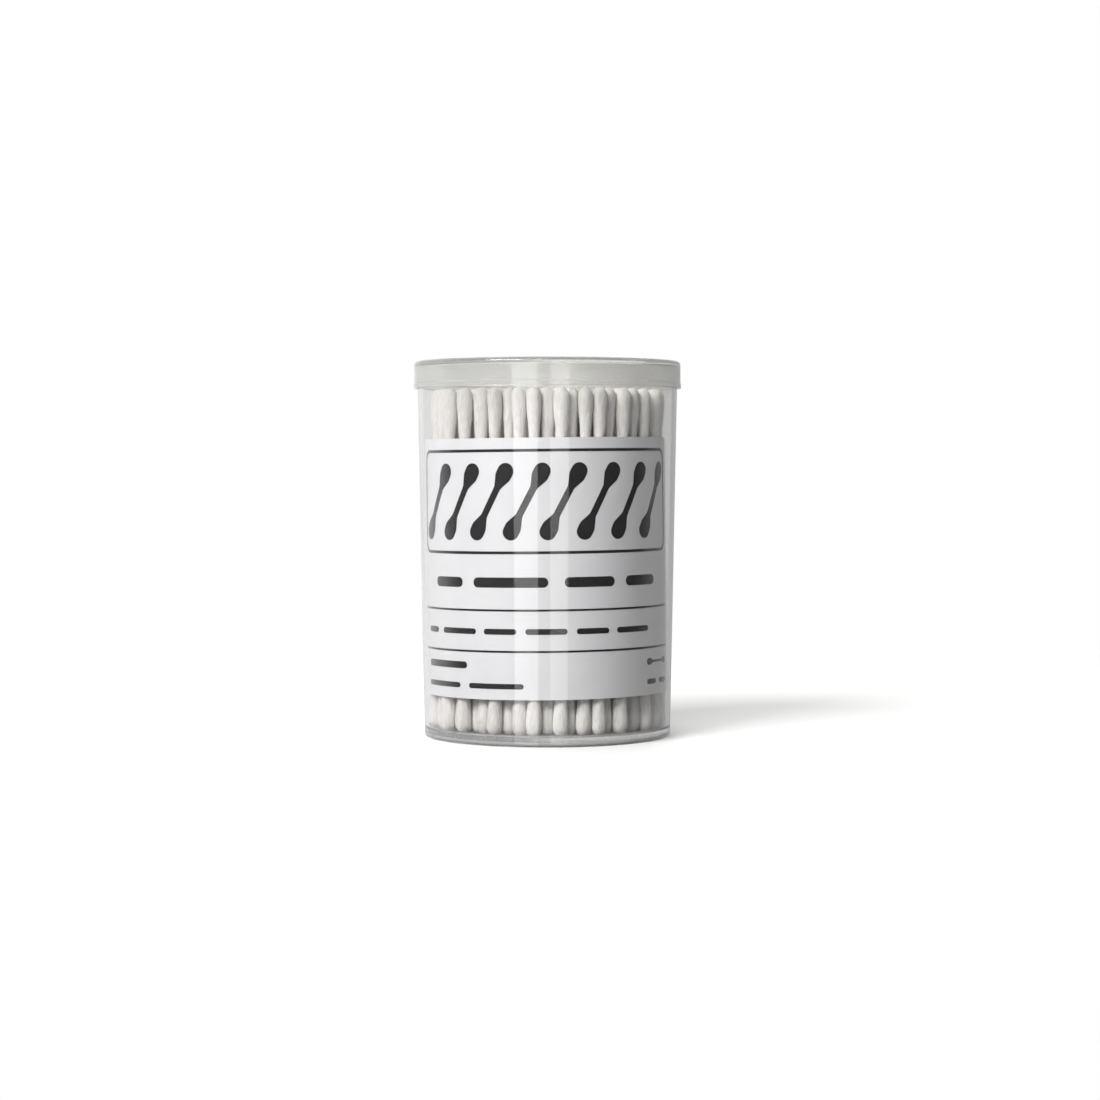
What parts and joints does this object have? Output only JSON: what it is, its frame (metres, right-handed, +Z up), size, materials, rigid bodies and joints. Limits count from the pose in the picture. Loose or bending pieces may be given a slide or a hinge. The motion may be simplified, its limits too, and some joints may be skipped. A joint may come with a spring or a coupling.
{
  "type": "cotton swab tub",
  "caption": "Clear tapered drum with a push-on lid, a card sleeve inside the wall and cotton buds standing packed in it.",
  "frame": {"origin": "centre of the standing ring under the tub, on the surface it stands on", "axes": "+Z up along the tub's axis towards the lid, -Y towards the middle of the label's front"},
  "size_m": [0.0598, 0.0598, 0.0838],
  "materials": {
    "clear_tub": "clear moulded, slightly hazy",
    "hazy_lid": "translucent moulded, milky",
    "label_card": "smooth coated card",
    "stick_paper": "rolled uncoated paper",
    "cotton": "wound bleached cotton"
  },
  "bodies": {
    "drum": {"tub": "clear_tub", "label_sleeve": "label_card", "paper_sticks_row_1": "stick_paper", "paper_sticks_row_2": "stick_paper", "paper_sticks_row_3": "stick_paper", "paper_sticks_row_4": "stick_paper", "paper_sticks_row_5": "stick_paper", "paper_sticks_row_6": "stick_paper", "paper_sticks_row_7": "stick_paper", "paper_sticks_row_8": "stick_paper", "lower_tips_row_1": "cotton", "lower_tips_row_2": "cotton", "lower_tips_row_3": "cotton", "lower_tips_row_4": "cotton", "lower_tips_row_5": "cotton", "lower_tips_row_6": "cotton", "lower_tips_row_7": "cotton", "lower_tips_row_8": "cotton", "upper_tips_row_1": "cotton", "upper_tips_row_2": "cotton", "upper_tips_row_3": "cotton", "upper_tips_row_4": "cotton", "upper_tips_row_5": "cotton", "upper_tips_row_6": "cotton", "upper_tips_row_7": "cotton", "upper_tips_row_8": "cotton"},
    "cap": {"lid": "hazy_lid"}
  },
  "joints": [
    {"name": "lid_lift", "type": "slide", "parent": "drum", "child": "cap", "axis": [0, 0, 1], "range_m": [0, 0.03]}
  ]
}
